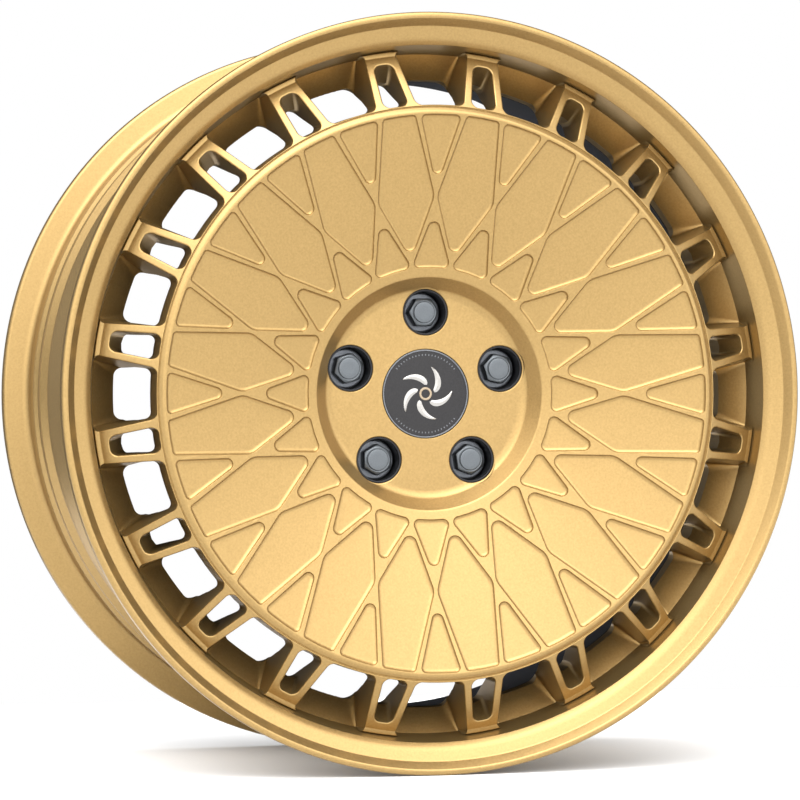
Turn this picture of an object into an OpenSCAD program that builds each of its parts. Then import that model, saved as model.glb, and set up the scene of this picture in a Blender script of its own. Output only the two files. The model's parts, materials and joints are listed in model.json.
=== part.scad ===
// Forged racing wheel, 19 x 9 inch, five bolts: a forged centre welded into a forged barrel.
// The wheel spins about Y, its face looks towards -Y, and the origin is its middle on the axis.
// Each piece is drawn lying on its back, face up, then stood upright by upright().
// Depths run backwards from the plane of the front flange.

/* [Rim] */
// Nominal rim diameter at the bead seats, inches
rim_diameter_in = 19; // [18:1:20]
// Rim width between the flanges, inches
rim_width_in = 9; // [8.5:0.5:10]
// Height of a tyre flange above its bead seat
flange_height = 17.5; // [17:0.5:18]
// Width of a tyre flange
flange_width = 13; // [12.5:0.5:14]

/* [Centre] */
// How many spokes, windows and lattice cells go round
spokes = 20; // [18:1:20]
// Depth of the recess floor round the bolts
recess_depth = 37.2; // [35:0.2:38]
// Radius of the recess floor
recess_r = 70; // [69:0.5:71]
// Depth of the lattice pockets
pocket_depth = 2.4; // [1.5:0.1:3]
// Distance of the mounting face in front of the wheel's middle plane
inset = 50; // [46:1:52]

/* [Hub] */
// Bolt circle diameter
bolt_circle = 112; // [110:1:114.3]
// Radius of the hub bore
hub_bore_r = 33.3; // [32:0.1:34]
// Radius of each bolt well
bolt_well_r = 15.9; // [15.5:0.1:16.2]
// Thread radius of a lug bolt, which stands out behind the hub
bolt_r = 7; // [6:0.5:7]
// Width across the flats of a lug bolt's head
bolt_flats = 19; // [17:1:19]

/* [Cap] */
// Radius of the centre cap's face
cap_r = 30.4; // [30:0.1:30.6]

/* [Hidden] */
$fn = 96;

inch = 25.4;
width = rim_width_in * inch + 2 * flange_width;
seat_r = rim_diameter_in * inch / 2;
flange_r = seat_r + flange_height;
pitch = 360 / spokes;
hub_back = width / 2 - inset;

// The joint between centre and barrel
ring_r = seat_r - 8.6;
ring_front = 34.4;
ring_back = 58;
window_r = seat_r - 25.3;
window_lip = 46;
barrel_bore_r = seat_r - 23.8;

// The disc of the centre
disc_r = seat_r - 47;
disc_front = -3.5;
lattice_out_r = disc_r - 5.5;
dish_slope = 0.257;
bevel_r = recess_r + 10;
spoke_base_r = disc_r + 1.6;
spoke_end_r = seat_r - 6.8;
spoke_end_depth = 21.8;
hub_r = 82;

// Bolt wells, counted anticlockwise from the top
bolts = 5;
first_bolt = 90;
head_turns = [0, 17, 30, 38, 47];
head_front = recess_depth + 2.8;
head_back = head_front + 11;
collar_r = 13.4;
collar_edge = 3;
cone_foot_r = 8.4;
cone_height = 7.3;
seat_gap = 0.3;
sleeve_back = head_back + 12;
bolt_end = hub_back + 28;
shank_r = bolt_r - 0.5;
bolt_play = 0.8;

// The cap and its bore
cap_bore_r = 28.5;
cap_seat = recess_depth + 3;
cap_bore_back = hub_back - 17.3;

// The valve, hidden behind a spoke
valve_angle = 9;
valve_depth = 104;
valve_hole_r = 5.65;
valve_outer_face = seat_r - 16.9;
valve_inner_face = seat_r - 20.9;
valve_wall = valve_outer_face - valve_inner_face;
stem_r = 4.1;
stem_tip = 36;

// A profile point from its radius and its depth behind the front flange
function at(r, depth) = [r, width / 2 - depth];
// The same point counted from the rear flange
function rear(r, depth) = at(r, width - depth);
// Points along an arc of a profile, from one angle to another
function bend(r, depth, radius, from, to, steps) =
    [for (i = [0:steps]) let (a = from + (to - from) * i / steps)
        at(r + radius * cos(a), depth - radius * sin(a))];
function mirrored(points) = [for (i = [len(points) - 1:-1:0]) [points[i][0], -points[i][1]]];
// A plan point from an angle off a cell's middle line and a radius
function polar(a, r) = [r * sin(a), r * cos(a)];
// Depth of the dished front face at a radius
function dish(r) = disc_front + 0.4 + dish_slope * (lattice_out_r - r);

module upright() { rotate([90, 0, 0]) children(); }
module lathe(points) { rotate_extrude() polygon(points); }
module around(count, start = 0) {
    for (i = [0:count - 1]) rotate([0, 0, start + i * 360 / count]) children();
}
// A flat outline with its corners rounded outwards by one radius
module rounded(radius) { offset(r = radius, $fn = 12) offset(delta = -radius) children(); }
// Height of a depth when the wheel lies on its back
module to_depth(depth) { translate([0, 0, width / 2 - depth]) children(); }

// ---- Barrel ----
// Tyre side of one flange, its bead seat and the safety hump
flange_side = concat(
    [at(seat_r + 10.2, 5.9), at(seat_r + 11.6, 3.4), at(seat_r + 13.2, 1.1)],
    bend(flange_r - 2.6, 2.6, 2.6, 90, 0, 4),
    bend(flange_r - 3.4, 6.6, 3.4, 0, -75, 4),
    bend(seat_r + 6.1, 19.2, 6.5, 105, 180, 4),
    [at(seat_r - 1.8, 33), at(seat_r - 1.2, 34.6), at(seat_r + 0.5, 37.4),
     at(seat_r + 0.5, 39.8), at(seat_r - 2.3, 43.5)]);
barrel_profile = concat(
    [at(ring_r, ring_back), at(ring_r, ring_front), at(seat_r - 4.2, 15.4)],
    bend(seat_r - 1.9, 14.6, 2.4, 180, 118, 4),
    [at(seat_r + 7.8, 6.3)],
    flange_side,
    [at(seat_r - 2.3, 62), at(seat_r - 17, 80), at(seat_r - 15.6, 148),
     at(seat_r - 5.8, 185), at(seat_r - 5.2, 189), at(seat_r - 0.9, 195.5),
     at(seat_r - 0.9, 199), at(seat_r - 2.3, 203)],
    mirrored(flange_side),
    [rear(seat_r + 7.8, 6.3), rear(seat_r - 1.6, 11.4), rear(seat_r - 4.6, 14),
     rear(seat_r - 6.8, 36), at(seat_r - 6.8, 204), at(seat_r - 9.4, 188),
     at(seat_r - 19.4, 152), at(seat_r - 20.4, 140), at(seat_r - 21.6, 93),
     at(barrel_bore_r, ring_back)]);

module valve_frame() {
    upright() rotate([0, 0, valve_angle]) to_depth(valve_depth)
        rotate([0, -90, 0]) translate([0, 0, -valve_outer_face]) children();
}
module barrel() {
    spot_r = 9.5;
    spot_reach = 6;
    color([0.86, 0.68, 0.42]) difference() {
        upright() lathe(barrel_profile);
        valve_frame() {
            translate([0, 0, -spot_reach]) cylinder(r = valve_hole_r, h = 20);
            translate([0, 0, -spot_reach]) cylinder(r = spot_r, h = spot_reach);
            translate([0, 0, valve_wall]) cylinder(r = spot_r, h = spot_reach);
        }
    }
}

// ---- Centre ----
centre_profile = concat(
    [at(cap_bore_r, cap_bore_back), at(cap_bore_r, cap_seat),
     at(cap_r + 0.4, cap_seat), at(cap_r + 0.4, recess_depth),
     at(recess_r - 1.5, recess_depth), at(recess_r + 0.6, recess_depth - 1),
     at(bevel_r - 0.6, dish(bevel_r) + 0.9), at(bevel_r + 1, dish(bevel_r))],
    [at(lattice_out_r, dish(lattice_out_r)), at(disc_r - 2.6, disc_front),
     at(disc_r - 0.8, disc_front + 0.9), at(disc_r, disc_front + 2.5),
     at(spoke_base_r, disc_front + 2.7)],
    [at(spoke_end_r - 3.2, spoke_end_depth + 0.2), at(spoke_end_r, spoke_end_depth),
     at(spoke_end_r, spoke_end_depth + 3), at(ring_r, ring_front),
     at(ring_r, ring_back), at(window_r, ring_back)],
    [at(spoke_base_r + 1.6, 20.5), at(disc_r - 6, 20.5), at(disc_r - 12, 12.5),
     at(bevel_r + 20, 32), at(bevel_r + 9, 44), at(hub_r + 2, hub_back - 2),
     at(hub_r, hub_back)],
    [at(hub_bore_r + 2, hub_back), at(hub_bore_r, hub_back - 2),
     at(hub_bore_r, cap_bore_back)]);

// Cuts start well in front of the wheel, and reach well inside and outside the spokes
ahead = -20;
cut_in_r = spoke_base_r - 20;
cut_out_r = spoke_end_r + 20;
// Everything between the spokes in front of the sloped ring, down to the window's outer wall
ring_slope = (window_lip - ring_front) / (ring_r - window_r);
window_limit = [at(cut_in_r, ahead), at(cut_out_r, ahead),
    at(cut_out_r, ring_front - (cut_out_r - ring_r) * ring_slope),
    at(window_r, window_lip), at(window_r, width), at(cut_in_r, width)];
// The small window ends in a wall that slopes inwards
slot_slope = 1.12;
slot_r = window_r - 1.3;
slot_limit = [at(cut_in_r, ahead), at(cut_out_r, ahead),
    at(cut_out_r, ring_front - (cut_out_r - slot_r) * slot_slope),
    at(slot_r, ring_front), at(slot_r, width), at(cut_in_r, width)];

module window_outline() {
    rounded(5) polygon([polar(-5.05, spoke_base_r), polar(0, spoke_base_r),
        polar(5.05, spoke_base_r), polar(6.4, spoke_end_r + 3), polar(-6.4, spoke_end_r + 3)]);
}
module slot_outline() {
    arch_r = 6.5;
    arch_at = spoke_end_r - 14;
    foot = 8.6;
    translate([0, arch_at]) circle(r = arch_r, $fn = 12);
    rounded(4) polygon([[-foot, spoke_base_r], [foot, spoke_base_r],
        [arch_r, arch_at], [-arch_r, arch_at]]);
}
module outer_triangle() {
    rounded(4) polygon([polar(-4.22, lattice_out_r), polar(0, lattice_out_r),
        polar(4.22, lattice_out_r), [0, lattice_out_r - 50.5]]);
}
module inner_triangle() {
    rounded(4) polygon([polar(-8.1, bevel_r + 6), polar(8.1, bevel_r + 6), [0, bevel_r + 48]]);
}
module coffin() {
    rounded(3) polygon([polar(-3.5, lattice_out_r), polar(0, lattice_out_r),
        polar(3.5, lattice_out_r), polar(8.4, bevel_r + 52), [0, bevel_r + 12.4],
        polar(-8.4, bevel_r + 52)]);
}
module lattice_outlines() {
    around(spokes, -90) { outer_triangle(); inner_triangle(); }
    around(spokes, pitch / 2 - 90) coffin();
}
module prism() { translate([0, 0, -width]) linear_extrude(2 * width) children(); }
module windows() {
    intersection() {
        prism() around(spokes, -90) window_outline();
        lathe(window_limit);
    }
    intersection() {
        prism() around(spokes, pitch / 2 - 90) slot_outline();
        lathe(slot_limit);
    }
}
module lattice_pockets() {
    intersection() {
        prism() lattice_outlines();
        lathe([at(recess_r, dish(recess_r) + pocket_depth), at(recess_r, ahead),
            at(disc_r, ahead), at(disc_r, dish(disc_r) + pocket_depth)]);
    }
}
module bolt_wells() {
    around(bolts, first_bolt) translate([bolt_circle / 2, 0, 0]) {
        to_depth(sleeve_back) cylinder(r = bolt_well_r, h = sleeve_back - ahead);
        to_depth(hub_back + bolt_play) cylinder(r = bolt_r + bolt_play, h = hub_back);
    }
}
// Weight-saving hollows in the back of the hub, between the bolts
module back_hollows() {
    hollow = 12;
    in_r = 46;
    side_r = 62;
    out_r = 77;
    around(bolts, first_bolt + 180 / bolts - 90) to_depth(hub_back) translate([0, 0, -1])
        linear_extrude(hollow + 1) rounded(5)
            polygon([polar(-13, in_r), polar(13, in_r), polar(17, side_r), polar(15, out_r - 3),
                polar(0, out_r), polar(-15, out_r - 3), polar(-17, side_r)]);
}
module centre() {
    color([0.89, 0.73, 0.47]) upright() difference() {
        lathe(centre_profile);
        windows();
        lattice_pockets();
        bolt_wells();
        back_hollows();
    }
}

// Filler in the corner between the back of the centre's ring and the barrel
module weld_bead() {
    leg = 4;
    rise = 0.25;
    color([0.3, 0.3, 0.32]) upright() lathe([at(window_r + 0.2, ring_back),
        at(barrel_bore_r, ring_back), at(barrel_bore_r + rise, ring_back + leg),
        at(window_r + 0.9, ring_back + 1.6)]);
}

// ---- Lug bolts ----
module at_bolt(k) {
    upright() rotate([0, 0, first_bolt + (k - 1) * 360 / bolts])
        translate([bolt_circle / 2, 0, 0]) children();
}
module lug_sleeve(k) {
    wall = 1.5;
    inner_r = bolt_well_r - wall;
    cone_top = head_back + collar_edge;
    color([0.05, 0.05, 0.06]) at_bolt(k) lathe([
        at(inner_r, recess_depth + 0.8), at(bolt_well_r, recess_depth + 0.8),
        at(bolt_well_r, sleeve_back), at(cone_foot_r - 0.4, sleeve_back),
        at(cone_foot_r - 0.4, cone_top + cone_height + seat_gap),
        at(cone_foot_r + seat_gap, cone_top + cone_height + seat_gap),
        at(collar_r - 0.8 + seat_gap, cone_top + seat_gap),
        at(inner_r, cone_top + seat_gap)]);
}
module lug_collar(k) {
    cone_top = head_back + collar_edge;
    bore_r = bolt_r + 0.08;
    color([0.36, 0.37, 0.4]) at_bolt(k) lathe([
        at(bore_r, head_back), at(collar_r - 0.6, head_back), at(collar_r, head_back + 0.6),
        at(collar_r, cone_top - 0.6), at(collar_r - 0.8, cone_top),
        at(cone_foot_r, cone_top + cone_height), at(bore_r, cone_top + cone_height)]);
}
module lug_bolt(k) {
    corner_r = bolt_flats / 2 / cos(30);
    face_r = 7.5;
    point = 1.5;
    thread_front = hub_back + 1.5;
    color([0.48, 0.5, 0.52]) at_bolt(k) {
        intersection() {
            rotate([0, 0, head_turns[k - 1] - first_bolt - (k - 1) * 360 / bolts])
                to_depth(head_back) cylinder(r = corner_r, h = head_back - head_front, $fn = 6);
            lathe([at(0, head_back + 1), at(corner_r + 2, head_back + 1),
                at(corner_r + 2, head_front + 3.3), at(face_r + 0.8, head_front + 0.5),
                at(face_r, head_front), at(0, head_front)]);
        }
        lathe([at(0, head_back - 1), at(shank_r, head_back - 1), at(shank_r, thread_front - 0.5),
            at(bolt_r, thread_front), at(bolt_r, bolt_end - point), at(bolt_r - point, bolt_end),
            at(0, bolt_end)]);
    }
}

// ---- Centre cap ----
cap_face = recess_depth + 0.4;
cap_floor = cap_face + 0.8;
tube_r = 27.6;
tube_wall = 1.8;
module cap_body() {
    tube_end = cap_seat + 13;
    fingers = 6;
    finger_gap = 5;
    finger_length = 9;
    color([0.2, 0.2, 0.21]) upright() difference() {
        lathe([at(0, cap_floor), at(cap_r, cap_floor), at(cap_r, cap_seat - 0.02),
            at(tube_r, cap_seat - 0.02), at(tube_r, tube_end - 3), at(tube_r + 0.6, tube_end - 2),
            at(tube_r - 0.6, tube_end), at(tube_r - tube_wall, tube_end),
            at(tube_r - tube_wall, cap_seat + 1), at(0, cap_seat + 1)]);
        around(fingers) to_depth(tube_end + 1) translate([0, -finger_gap / 2, 0])
            cube([cap_r, finger_gap, finger_length + 1]);
    }
}
module cap_trim_ring() {
    color([0.55, 0.56, 0.58]) upright() lathe([at(cap_r - 1.1, cap_floor),
        at(cap_r - 1.1, cap_face + 0.1), at(cap_r - 0.9, cap_face - 0.2),
        at(cap_r - 0.3, cap_face - 0.2), at(cap_r, cap_face + 0.1), at(cap_r, cap_floor)]);
}
module cap_badge() {
    color([0.24, 0.23, 0.24]) upright() lathe([at(0, cap_floor), at(0, cap_face),
        at(cap_r - 1.4, cap_face), at(cap_r - 1.1, cap_face + 0.2), at(cap_r - 1.1, cap_floor)]);
}
module ring_of(radius, depth, wire_r) {
    upright() to_depth(depth) rotate_extrude() translate([radius, 0]) circle(r = wire_r, $fn = 24);
}
module cap_o_ring() {
    cord_r = 0.3;
    color([0.08, 0.08, 0.08]) ring_of(tube_r + cord_r, cap_seat + 0.6, cord_r);
}
// Holds the cap's fingers outwards
module cap_spring_ring() {
    wire_r = 0.8;
    color([0.7, 0.7, 0.72]) ring_of(tube_r - tube_wall - wire_r, cap_seat + 10.5, wire_r);
}

// ---- Valve, drawn along its own axis from the tyre side inwards ----
module turned(points) { rotate_extrude() polygon(points); }
washer_thickness = 1.2;
core_r = 2.5;
core_top = stem_tip - 0.8;
core_foot = 20;
pin_r = 0.6;
cap_top = stem_tip + 2.5;
module valve_stem() {
    thread_r = 3.85;
    color([0.75, 0.76, 0.78]) valve_frame() turned([
        [1.3, -4.6], [7, -4.6], [7.6, -4], [7.6, -2.2], [stem_r, -2.2],
        [stem_r, 22], [thread_r, 22.4], [thread_r, stem_tip - 0.4], [thread_r - 0.4, stem_tip],
        [core_r, stem_tip], [core_r, core_foot], [1.3, core_foot]]);
}
module valve_seal() {
    color([0.07, 0.07, 0.07]) valve_frame() turned([
        [stem_r, -2.2], [8.2, -2.2], [8.8, -1.6], [8.8, 0], [valve_hole_r, 0],
        [valve_hole_r, valve_wall - 0.4], [stem_r, valve_wall - 0.4]]);
}
module valve_washer() {
    color([0.7, 0.7, 0.72]) valve_frame()
        translate([0, 0, valve_wall]) difference() {
            cylinder(r = 8.6, h = washer_thickness);
            translate([0, 0, -1]) cylinder(r = stem_r, h = washer_thickness + 2);
        }
}
module valve_nut() {
    nut_flats = 14;
    nut_height = 6;
    color([0.75, 0.76, 0.78]) valve_frame()
        translate([0, 0, valve_wall + washer_thickness]) difference() {
            cylinder(r = nut_flats / 2 / cos(30), h = nut_height, $fn = 6);
            translate([0, 0, -1]) cylinder(r = stem_r, h = nut_height + 2);
        }
}
module valve_core() {
    color([0.8, 0.65, 0.3]) valve_frame() turned([
        [pin_r + 0.06, core_foot + 6], [core_r, core_foot + 6], [core_r, core_top],
        [pin_r + 0.06, core_top]]);
}
// The pin's disc seals against the foot of the core, and the spring below it holds it there
module valve_pin() {
    disc_r = 1.9;
    color([0.82, 0.7, 0.38]) valve_frame() turned([
        [0, core_foot + 2.8], [pin_r, core_foot + 2.8], [pin_r, core_foot + 5],
        [disc_r, core_foot + 5], [disc_r, core_foot + 6], [pin_r, core_foot + 6],
        [pin_r, core_top + 0.6], [0, core_top + 0.6]]);
}
module valve_spring() {
    color([0.8, 0.8, 0.82]) valve_frame() turned([
        [pin_r + 0.5, core_foot + 0.4], [2.2, core_foot + 0.4], [2.2, core_foot + 4.9],
        [pin_r + 0.5, core_foot + 4.9]]);
}
module valve_cap() {
    grips = 12;
    grip_r = 0.5;
    inner_r = 3.93;
    outer_r = 5.2;
    foot = 25;
    color([0.6, 0.61, 0.63]) valve_frame() difference() {
        turned([[0, stem_tip + 0.9], [inner_r, stem_tip + 0.9], [inner_r, foot], [outer_r, foot],
            [outer_r, cap_top - 0.8], [outer_r - 0.8, cap_top], [0, cap_top]]);
        around(grips) translate([outer_r + 0.2, 0, foot - 1]) cylinder(r = grip_r, h = 12);
    }
}

barrel();
centre();
weld_bead();
lug_sleeve(1);  // lug_sleeve_1
lug_sleeve(2);  // lug_sleeve_2
lug_sleeve(3);  // lug_sleeve_3
lug_sleeve(4);  // lug_sleeve_4
lug_sleeve(5);  // lug_sleeve_5
lug_collar(1);  // lug_collar_1
lug_collar(2);  // lug_collar_2
lug_collar(3);  // lug_collar_3
lug_collar(4);  // lug_collar_4
lug_collar(5);  // lug_collar_5
lug_bolt(1);  // lug_bolt_1
lug_bolt(2);  // lug_bolt_2
lug_bolt(3);  // lug_bolt_3
lug_bolt(4);  // lug_bolt_4
lug_bolt(5);  // lug_bolt_5
cap_body();
cap_trim_ring();
cap_badge();
cap_o_ring();
cap_spring_ring();
valve_stem();
valve_seal();
valve_washer();
valve_nut();
valve_core();
valve_pin();
valve_spring();
valve_cap();
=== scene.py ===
"""A forged two-piece racing wheel, painted satin gold, standing on a pale studio floor.

The wheel spins about Y and its face looks towards -Y. Sizes are in millimetres. A place on the
wheel is a radius, a depth behind the front flange and an angle counted from +X towards +Z.
"""

import json
import math

import bmesh
import bpy
import numpy as np
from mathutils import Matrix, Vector

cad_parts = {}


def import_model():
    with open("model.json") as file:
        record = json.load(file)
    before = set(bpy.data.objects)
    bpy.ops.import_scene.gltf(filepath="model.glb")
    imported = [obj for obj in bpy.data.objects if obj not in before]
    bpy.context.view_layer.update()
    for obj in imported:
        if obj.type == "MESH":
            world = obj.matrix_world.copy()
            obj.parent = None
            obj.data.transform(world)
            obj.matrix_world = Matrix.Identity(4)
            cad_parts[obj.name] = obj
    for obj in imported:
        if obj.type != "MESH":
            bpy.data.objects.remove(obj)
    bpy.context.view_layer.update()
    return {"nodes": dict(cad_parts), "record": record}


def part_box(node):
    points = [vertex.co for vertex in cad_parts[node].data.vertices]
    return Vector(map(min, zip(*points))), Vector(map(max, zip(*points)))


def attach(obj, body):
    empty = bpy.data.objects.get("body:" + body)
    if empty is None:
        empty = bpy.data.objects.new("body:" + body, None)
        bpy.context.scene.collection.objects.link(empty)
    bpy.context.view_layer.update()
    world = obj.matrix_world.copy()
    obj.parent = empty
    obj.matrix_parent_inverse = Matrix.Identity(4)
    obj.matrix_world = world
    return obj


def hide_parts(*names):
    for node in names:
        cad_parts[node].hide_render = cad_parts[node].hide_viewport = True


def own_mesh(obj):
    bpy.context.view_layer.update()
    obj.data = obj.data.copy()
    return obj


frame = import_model()

MM = 0.001
TURN = 2 * math.pi

# ---- Sizes ----
# The whole wheel
low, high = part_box("barrel")
FRONT_Y = low.y / MM
FLANGE_R = high.x / MM
WIDTH = (high.y - low.y) / MM
SEAT_R = FLANGE_R - 17.5
SPOKES = 20
PITCH = TURN / SPOKES
BOLTS = 5

# Ring of the centre, and the windows between the spokes
RING_R = SEAT_R - 8.6
RING_FRONT = 34.4
RING_BACK = 58.0
WINDOW_R = SEAT_R - 25.3
WINDOW_LIP = 46.0
BORE_R = SEAT_R - 23.8

# Dished disc and spokes
DISC_R = SEAT_R - 47
DISH_SLOPE = 0.257
DISH_OUT_R = DISC_R - 5.5
DISH_OUT_DEPTH = -3.1
BEVEL_R = 80.0
RECESS_R = 70.0
RECESS_DEPTH = 37.2
POCKET_DEPTH = 2.3
SPOKE_IN_R = DISC_R + 1.4
SPOKE_END_R = SEAT_R - 6.8
SPOKE_FACE_R = SPOKE_END_R - 3.3
SPOKE_FACE_DEPTH = 22.0
SPOKE_SLOPE = 0.653

# Corners of the pockets and of the small windows
POCKET_OUT_R = DISH_OUT_R + 0.4
OUTER_TIP_R = 138.5
INNER_FOOT_R = BEVEL_R + 6
INNER_TIP_R = BEVEL_R + 46.4
LONG_TIP_R = BEVEL_R + 11.5
LONG_SHOULDER_R = BEVEL_R + 53
LONG_HALF_WIDTH = 20.3
SMALL_WINDOW_R = 225.8
SMALL_WINDOW_BACK_R = 215.2

# Hub, with the cap's seat
HUB_BACK = WIDTH / 2 - 50
HUB_R = 82.0
HUB_BORE_R = 33.3
CAP_R = 30.4
CAP_BORE_R = 28.5
CAP_SEAT = RECESS_DEPTH + 3

# Bolts, collars and sleeves, with the degrees that each hexagon is turned by
BOLT_CIRCLE_R = 56.0
WELL_R = 15.9
BOLT_R = 7.0
BOLT_PLAY = 0.8
SHANK_R = BOLT_R - 0.5
HEX_FLATS = 19.0
FACE_R = 7.5
HEAD_FRONT = RECESS_DEPTH + 2.8
HEAD_BACK = HEAD_FRONT + 11
HEAD_TURNS = (0, 17, 30, 38, 47)
HEAD_GAP = 0.04
THREAD_FRONT = HUB_BACK + 1.5
THREAD_PITCH = 1.5
THREAD_HEIGHT = 0.9
BOLT_END = HUB_BACK + 28
COLLAR_R = 13.4
COLLAR_BORE_R = BOLT_R + 0.08
CONE_TOP = HEAD_BACK + 3
CONE_BACK = CONE_TOP + 7.3
CONE_FOOT_R = 8.4
SEAT_GAP = 0.3
SLEEVE_BACK = HEAD_BACK + 12

# Cap
CAP_FACE = RECESS_DEPTH + 0.4
CAP_FLOOR = CAP_FACE + 0.8
CAP_TUBE_R = 27.6
CAP_TUBE_WALL = 1.8
CAP_TUBE_END = CAP_SEAT + 13
BADGE_R = CAP_R - 1.1
MARKS_R = 26.7
BLADE_FOOT_R = 6.2
BLADE_LENGTH = 12.6
BLADE_HALF_WIDTH = 2.9
BLADE_SWEEP = math.radians(58)

# Valve: heights along it are counted inwards from the face that its seal lies on
VALVE_ANGLE = math.radians(9)
VALVE_DEPTH = 104.0
VALVE_HOLE_R = 5.65
VALVE_OUTER_FACE = SEAT_R - 16.9
NUT_FRONT = 5.2
NUT_BACK = 11.2
STEM_R = 4.1
STEM_TIP = 36.0
CORE_FOOT = 20.0
VALVE_CAP_FOOT = 25.0
VALVE_CAP_END = STEM_TIP + 2.5

# Points around the whole wheel, the cap and the small round pieces
WHEEL_STEPS = 720
CAP_STEPS = 144
ROUND_STEPS = 96

# Floor, in metres. It ends close behind the wheel, so that it doesn't light the wheel's back.
FLOOR_SIDE = 6.0
FLOOR_FRONT = -6.0
FLOOR_BACK = 0.55
FLOOR_GLOW = 0.05

# Soft patches of light: degrees from the wheel's front towards +X, degrees up, and strength.
# A patch fades with the cosine of the angle from its middle, raised to the power of PATCH_EDGE.
PATCH_EDGE = 8
PATCHES = {
    "back_left": (-128, 10, 0.6),
    "left": (-76, 42, 5.0),
    "front_left": (-42, 3, 3.2),
    "front": (5, 0, 2.1),
    "right": (68, 0, 2.4),
    "raised_front": (8, 35, 3.2),
    "raised_right": (50, 35, 2.5),
    "top": (-25, 70, 8.6),
}

# Camera, with its place given like a patch's and its lens and sensor in millimetres
CAMERA_TURN = math.radians(-15.57)
CAMERA_LIFT = math.radians(-0.14)
CAMERA_DISTANCE = 10 * FLANGE_R * MM
CAMERA_LENS = 172.0
CAMERA_SENSOR = 36.0
CAMERA_SHIFT = (-0.0503, -0.008)


def dish(r):
    """Depth of the dished face at a radius."""
    return DISH_OUT_DEPTH + DISH_SLOPE * (DISH_OUT_R - r)


def spoke_face(r):
    """Depth of the front of the spokes at a radius."""
    return np.minimum(SPOKE_FACE_DEPTH, SPOKE_FACE_DEPTH - SPOKE_SLOPE * (SPOKE_FACE_R - r))


# ---- Outlines: lists of (across, along, corner radius) ----
def unit(v):
    """The vector with length 1."""
    return v / np.hypot(*v)


def rounded(corners, arc=None):
    """The points of a closed outline with rounded corners. A corner of radius 0 is one point."""
    points = []
    for i, (u, v, radius) in enumerate(corners):
        here = np.array([u, v], float)
        if radius == 0:
            points.append(here)
            continue
        before = unit(np.array(corners[i - 1][:2]) - here)
        after = unit(np.array(corners[(i + 1) % len(corners)][:2]) - here)
        half = math.acos(np.clip(before @ after, -1, 1)) / 2
        centre = here + unit(before + after) * radius / math.sin(half)
        start = here + before * radius / math.tan(half) - centre
        end = here + after * radius / math.tan(half) - centre
        first = math.atan2(start[1], start[0])
        sweep = (math.atan2(end[1], end[0]) - first + math.pi) % TURN - math.pi
        steps = arc or max(2, math.ceil(abs(sweep) / math.radians(12)))
        for k in range(steps + 1):
            a = first + sweep * k / steps
            points.append(centre + radius * np.array([math.cos(a), math.sin(a)]))
    return np.array(points)


def inset(corners, by):
    """The anticlockwise outline with every side moved inwards and its corners tighter."""
    least = 0.15
    moved = []
    sides = []
    for i, (u, v, _) in enumerate(corners):
        here, after = np.array([u, v], float), np.array(corners[(i + 1) % len(corners)][:2])
        along = unit(after - here)
        sides.append((here + by * np.array([-along[1], along[0]]), along))
    for i, (u, v, radius) in enumerate(corners):
        (p, d), (q, e) = sides[i - 1], sides[i]
        cross = d[0] * e[1] - d[1] * e[0]
        step = q - p
        at = p + d * (step[0] * e[1] - step[1] * e[0]) / cross
        moved.append((at[0], at[1], 0 if radius == 0 else max(radius - by, least)))
    return moved


def polar(degrees, r, radius=0):
    """A corner of a sector's outline from an angle off its middle line and a radius."""
    a = math.radians(degrees)
    return (r * math.sin(a), r * math.cos(a), radius)


def arc_of(r, first, last, count):
    """Corners that carry a side along a circle, between but without its ends."""
    return [polar(first + (last - first) * (i + 1) / (count + 1), r) for i in range(count)]


# ---- Meshes ----
def new_object(name, verts, faces, stuff=None, sharp=30):
    """A closed mesh with smooth shading and, if it is given, a material."""
    mesh = bpy.data.meshes.new(name)
    mesh.from_pydata([tuple(v) for v in verts], [], [tuple(f) for f in faces])
    mesh.validate()
    obj = bpy.data.objects.new(name, mesh)
    bpy.context.scene.collection.objects.link(obj)
    outward(obj)
    if stuff:
        mesh.materials.append(stuff)
    soften(obj, sharp)
    return obj


def outward(obj):
    """Turns every face of a closed mesh outwards."""
    bm = bmesh.new()
    bm.from_mesh(obj.data)
    bmesh.ops.recalc_face_normals(bm, faces=bm.faces)
    bm.to_mesh(obj.data)
    bm.free()


def soften(obj, sharp=30):
    """Smooth shading, except on edges where faces meet at more than this many degrees."""
    obj.data.shade_smooth()
    obj.data.set_sharp_from_angle(angle=math.radians(sharp))


def place(r, depth, turn):
    """Points in metres from radii, depths and angles."""
    r, depth, turn = np.broadcast_arrays(r, depth, turn)
    return np.stack([r * np.cos(turn), FRONT_Y + depth, r * np.sin(turn)], axis=-1) * MM


def lofted(loops):
    """Vertices and faces of a tube through loops of equal length, closed at both ends."""
    loops = np.asarray(loops)
    count, size = loops.shape[:2]
    faces = []
    for i in range(count - 1):
        for j in range(size):
            k = (j + 1) % size
            faces.append((i * size + j, i * size + k, (i + 1) * size + k, (i + 1) * size + j))
    faces.append(tuple(range(size))[::-1])
    faces.append(tuple((count - 1) * size + j for j in range(size)))
    return loops.reshape(-1, 3), faces


def ringed(loops):
    """Vertices and faces of a tube through loops of equal length whose last meets the first."""
    loops = np.asarray(loops)
    count, size = loops.shape[:2]
    faces = []
    for i in range(count):
        for j in range(size):
            a, b, k = i * size, ((i + 1) % count) * size, (j + 1) % size
            faces.append((a + j, a + k, b + k, b + j))
    return loops.reshape(-1, 3), faces


def turned(profile):
    """A closed profile of (radius, depth) turned round the wheel's axis."""
    profile = np.asarray(profile)
    turns = np.arange(WHEEL_STEPS) * TURN / WHEEL_STEPS
    return ringed([place(profile[:, 0], profile[:, 1], t) for t in turns])


def joined(parts):
    """Several meshes' vertices and faces as one."""
    verts, faces, shift = [], [], 0
    for v, f in parts:
        verts.append(v)
        faces += [tuple(i + shift for i in face) for face in f]
        shift += len(v)
    return np.concatenate(verts), faces


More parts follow.
